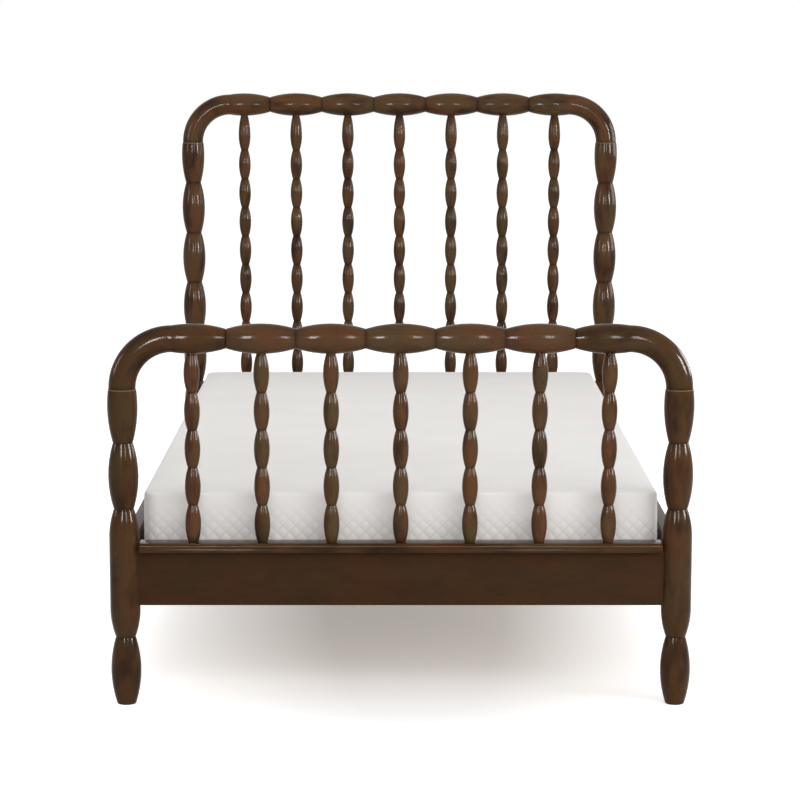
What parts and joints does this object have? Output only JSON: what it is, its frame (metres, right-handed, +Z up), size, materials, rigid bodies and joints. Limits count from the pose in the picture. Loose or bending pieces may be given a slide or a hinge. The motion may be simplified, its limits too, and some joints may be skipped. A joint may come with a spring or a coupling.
{
  "type": "spindle bed",
  "caption": "Single spindle bed with turned beaded posts, bent corner pieces, a beaded top rail over turned spindles at head and foot, side rails, slats and a mattress.",
  "frame": {"origin": "on the floor under the middle of the bed", "axes": "+Z up, +Y from the footboard to the headboard, +X to the right of somebody standing at the foot and facing the bed"},
  "size_m": [1.097, 2.032, 1.0995],
  "materials": {
    "stained_wood": "dark walnut stain under semi-gloss lacquer",
    "slat_wood": "planed, unfinished",
    "zinc_steel": "zinc plated",
    "mattress_fabric": "white quilted knit"
  },
  "bodies": {
    "bed_frame": {"bolt_nuts": "zinc_steel", "bolt_washers": "zinc_steel", "brace_screws": "zinc_steel", "cleat_screws": "zinc_steel", "corner_dowels": "slat_wood", "foot_brace_left": "zinc_steel", "foot_brace_right": "zinc_steel", "foot_cap_rail": "stained_wood", "foot_corner_left": "stained_wood", "foot_corner_right": "stained_wood", "foot_lower_board": "stained_wood", "foot_post_left": "stained_wood", "foot_post_right": "stained_wood", "foot_spindle_1": "stained_wood", "foot_spindle_2": "stained_wood", "foot_spindle_3": "stained_wood", "foot_spindle_4": "stained_wood", "foot_spindle_5": "stained_wood", "foot_spindle_6": "stained_wood", "foot_spindle_7": "stained_wood", "foot_top_rail": "stained_wood", "hanger_bolts": "zinc_steel", "head_brace_left": "zinc_steel", "head_brace_right": "zinc_steel", "head_cap_rail": "stained_wood", "head_corner_left": "stained_wood", "head_corner_right": "stained_wood", "head_lower_board": "stained_wood", "head_post_left": "stained_wood", "head_post_right": "stained_wood", "head_spindle_1": "stained_wood", "head_spindle_2": "stained_wood", "head_spindle_3": "stained_wood", "head_spindle_4": "stained_wood", "head_spindle_5": "stained_wood", "head_spindle_6": "stained_wood", "head_spindle_7": "stained_wood", "head_top_rail": "stained_wood", "side_rail_left": "stained_wood", "side_rail_right": "stained_wood", "slat_01": "slat_wood", "slat_02": "slat_wood", "slat_03": "slat_wood", "slat_04": "slat_wood", "slat_05": "slat_wood", "slat_06": "slat_wood", "slat_07": "slat_wood", "slat_08": "slat_wood", "slat_09": "slat_wood", "slat_10": "slat_wood", "slat_11": "slat_wood", "slat_12": "slat_wood", "slat_13": "slat_wood", "slat_cleat_left": "slat_wood", "slat_cleat_right": "slat_wood", "slat_screws": "zinc_steel"},
    "mattress": {"mattress": "mattress_fabric"}
  },
  "joints": [
    {"name": "mattress_lift", "type": "slide", "parent": "bed_frame", "child": "mattress", "axis": [0, 0, 1], "range_m": [0, 0.9]}
  ]
}
